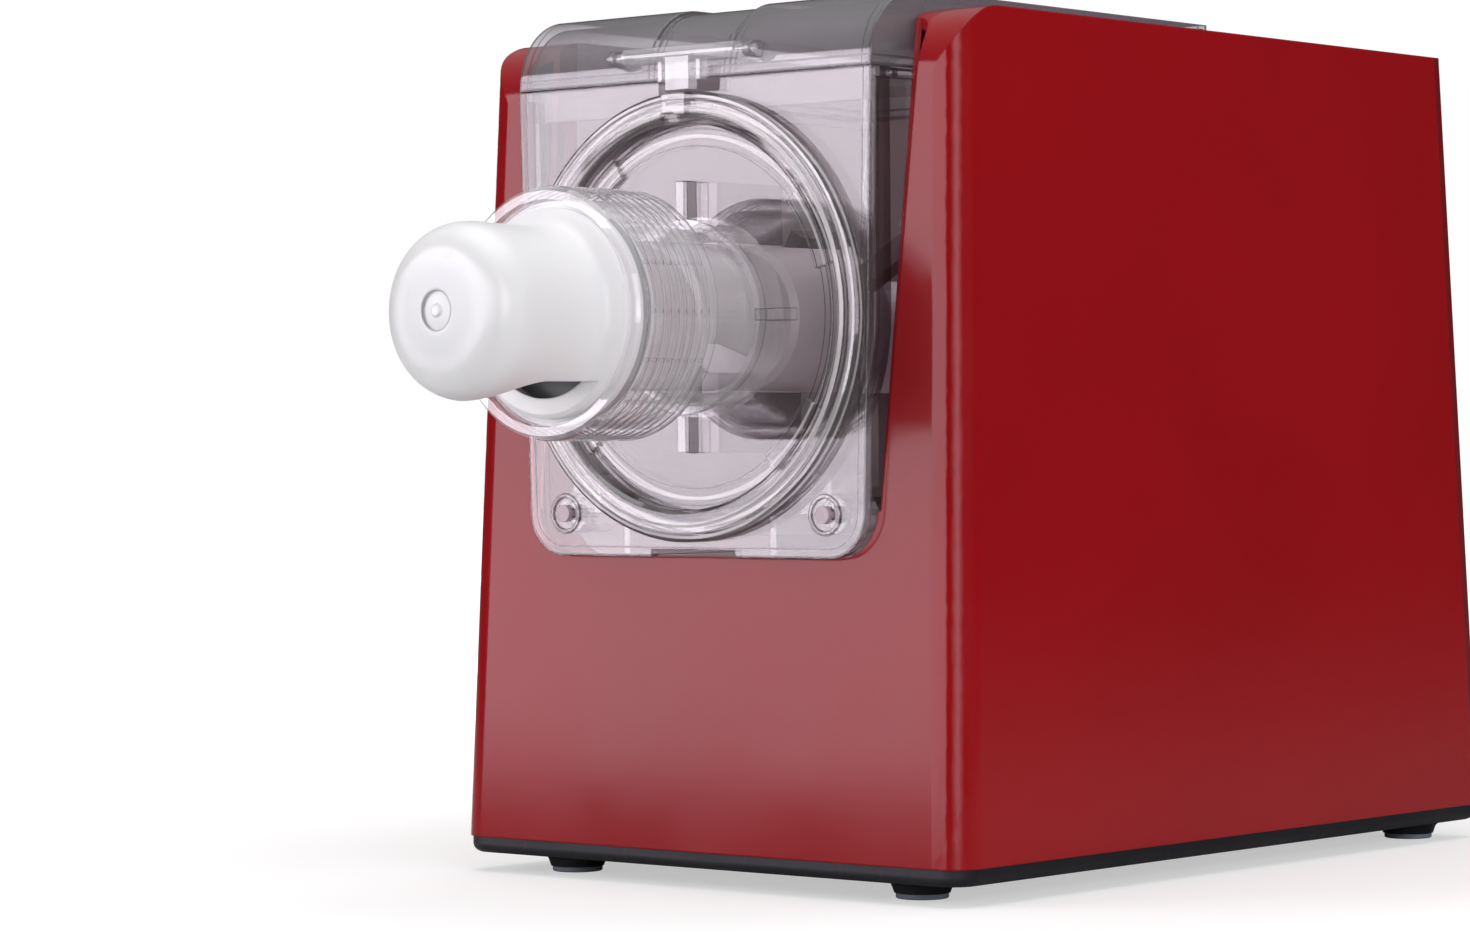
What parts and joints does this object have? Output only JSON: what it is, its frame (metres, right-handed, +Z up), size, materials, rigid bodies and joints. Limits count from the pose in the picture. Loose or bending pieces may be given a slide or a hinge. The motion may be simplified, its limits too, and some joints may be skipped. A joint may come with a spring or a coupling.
{
  "type": "electric pasta maker",
  "caption": "Countertop electric pasta maker: leaning painted housing, clear slide-out mixing bowl, turning paddle and screw, front disc, threaded nozzle nut, outlet hood and hinged lid.",
  "frame": {"origin": "on the floor, under the middle of the whole machine's box", "axes": "+X to the machine's right seen from the front, +Y from the nozzle to the back, +Z up"},
  "size_m": [0.216, 0.4272, 0.288],
  "materials": {
    "red_gloss": "high gloss painted plastic",
    "black_plastic": "fine matte moulded plastic",
    "pad_rubber": "soft grey rubber",
    "key_plastic": "satin grey",
    "clear_bowl": "clear moulded plastic",
    "smoked_clear": "smoked clear plastic",
    "window": "dark display glass",
    "white_plastic": "milky white plastic",
    "paddle_plastic": "grey plum plastic",
    "die_plastic": "dark grey plastic",
    "seal_rubber": "silicone",
    "belt_rubber": "black belt rubber",
    "steel": "plain steel",
    "gear_nylon": "natural nylon",
    "magnet": "sintered magnet",
    "copper": "copper",
    "carbon": "carbon",
    "board_green": "board lacquer",
    "component_black": "moulded component"
  },
  "bodies": {
    "housing": {"body_shell": "red_gloss", "base_plate": "black_plastic", "feet": "black_plastic", "foot_pads": "pad_rubber", "rear_cover": "black_plastic", "cord_gland": "black_plastic", "housing_screws": "steel", "bay_back_plate": "black_plastic", "control_panel": "black_plastic", "display_window": "window", "display_module": "component_black", "control_board": "board_green", "key_switches": "carbon", "board_screws": "steel", "lid_hinge_pin": "steel", "gearbox_case": "black_plastic", "gearbox_lid": "black_plastic", "gearbox_screws": "steel", "gearbox_bearings": "steel", "compound_pin": "steel", "drive_belt": "belt_rubber", "motor_can": "steel", "motor_magnets": "magnet", "motor_end_bells": "steel", "motor_bearings": "steel", "carbon_brushes": "carbon", "motor_cradle": "steel", "cradle_screws": "steel", "power_board": "board_green", "power_components": "component_black"},
    "lid": {"lid": "smoked_clear"},
    "latch": {"lid_latch": "clear_bowl"},
    "bowl": {"bowl_front_plate": "clear_bowl", "mixing_bowl": "clear_bowl", "bowl_screws": "steel", "bowl_shaft_seal": "seal_rubber"},
    "disc": {"front_disc": "clear_bowl", "extrusion_barrel": "clear_bowl"},
    "die": {"shaping_die": "die_plastic", "die_seal": "seal_rubber", "outlet_hood": "white_plastic"},
    "nut": {"nozzle_nut": "clear_bowl"},
    "paddle": {"mixing_paddle": "paddle_plastic", "conveying_screw": "paddle_plastic"},
    "output": {"output_gear": "steel", "output_shaft": "steel"},
    "compound": {"compound_gear": "gear_nylon"},
    "input": {"input_pinion": "steel", "input_shaft": "steel", "input_pulley": "black_plastic"},
    "rotor": {"motor_shaft": "steel", "motor_armature": "copper", "commutator": "copper", "motor_fan": "gear_nylon", "motor_pulley": "black_plastic"},
    "button_power": {"button_power": "key_plastic"},
    "button_start": {"button_start": "key_plastic"},
    "button_less": {"button_less": "key_plastic"},
    "button_more": {"button_more": "key_plastic"}
  },
  "joints": [
    {"name": "lid_hinge", "type": "hinge", "parent": "housing", "child": "lid", "pos_m": [0, 0.0916, 0.283], "axis": [-1, 0, 0], "range_deg": [0, 95]},
    {"name": "latch_pivot", "type": "hinge", "parent": "lid", "child": "latch", "pos_m": [0, -0.0992, 0.271], "axis": [-1, 0, 0], "range_deg": [0, 80]},
    {"name": "bowl_slide", "type": "slide", "parent": "housing", "child": "bowl", "axis": [0, -1, 0], "range_m": [0, 0.17]},
    {"name": "disc_turn", "type": "hinge", "parent": "bowl", "child": "disc", "pos_m": [0, -0.0954, 0.1858], "axis": [0, 1, 0], "range_deg": [0, 30]},
    {"name": "die_slide", "type": "slide", "parent": "disc", "child": "die", "axis": [0, -1, 0], "range_m": [0, 0.0081]},
    {"name": "nut_turn", "type": "hinge", "parent": "die", "child": "nut", "pos_m": [0, -0.1454, 0.1858], "axis": [0, -1, 0], "range_deg": [0, 720]},
    {"name": "paddle_spin", "type": "hinge", "parent": "bowl", "child": "paddle", "pos_m": [0, -0.0454, 0.1858], "axis": [0, 1, 0], "continuous": true},
    {"name": "output_spin", "type": "hinge", "parent": "housing", "child": "output", "pos_m": [0, 0.1117, 0.1858], "axis": [0, 1, 0], "continuous": true},
    {"name": "compound_spin", "type": "hinge", "parent": "housing", "child": "compound", "pos_m": [-0.028, 0.1277, 0.1373], "axis": [0, 1, 0], "continuous": true},
    {"name": "input_spin", "type": "hinge", "parent": "housing", "child": "input", "pos_m": [0, 0.1616, 0.106], "axis": [0, 1, 0], "continuous": true},
    {"name": "motor_spin", "type": "hinge", "parent": "housing", "child": "rotor", "pos_m": [0.048, 0.1366, 0.061], "axis": [0, 1, 0], "continuous": true},
    {"name": "button_power_press", "type": "slide", "parent": "housing", "child": "button_power", "axis": [0, 0, -1], "range_m": [0, 0.0015], "stiffness_N_per_m": 350, "springref_m": -0.002},
    {"name": "button_start_press", "type": "slide", "parent": "housing", "child": "button_start", "axis": [0, 0, -1], "range_m": [0, 0.0015], "stiffness_N_per_m": 350, "springref_m": -0.002},
    {"name": "button_less_press", "type": "slide", "parent": "housing", "child": "button_less", "axis": [0, 0, -1], "range_m": [0, 0.0015], "stiffness_N_per_m": 350, "springref_m": -0.002},
    {"name": "button_more_press", "type": "slide", "parent": "housing", "child": "button_more", "axis": [0, 0, -1], "range_m": [0, 0.0015], "stiffness_N_per_m": 350, "springref_m": -0.002}
  ],
  "couplings": [
    {"joint": "paddle_spin", "follows": "output_spin", "ratio": 1},
    {"joint": "compound_spin", "follows": "output_spin", "ratio": -3},
    {"joint": "input_spin", "follows": "output_spin", "ratio": 9},
    {"joint": "motor_spin", "follows": "output_spin", "ratio": 24},
    {"joint": "die_slide", "follows": "nut_turn", "m_per_rad": 0.00063662}
  ]
}
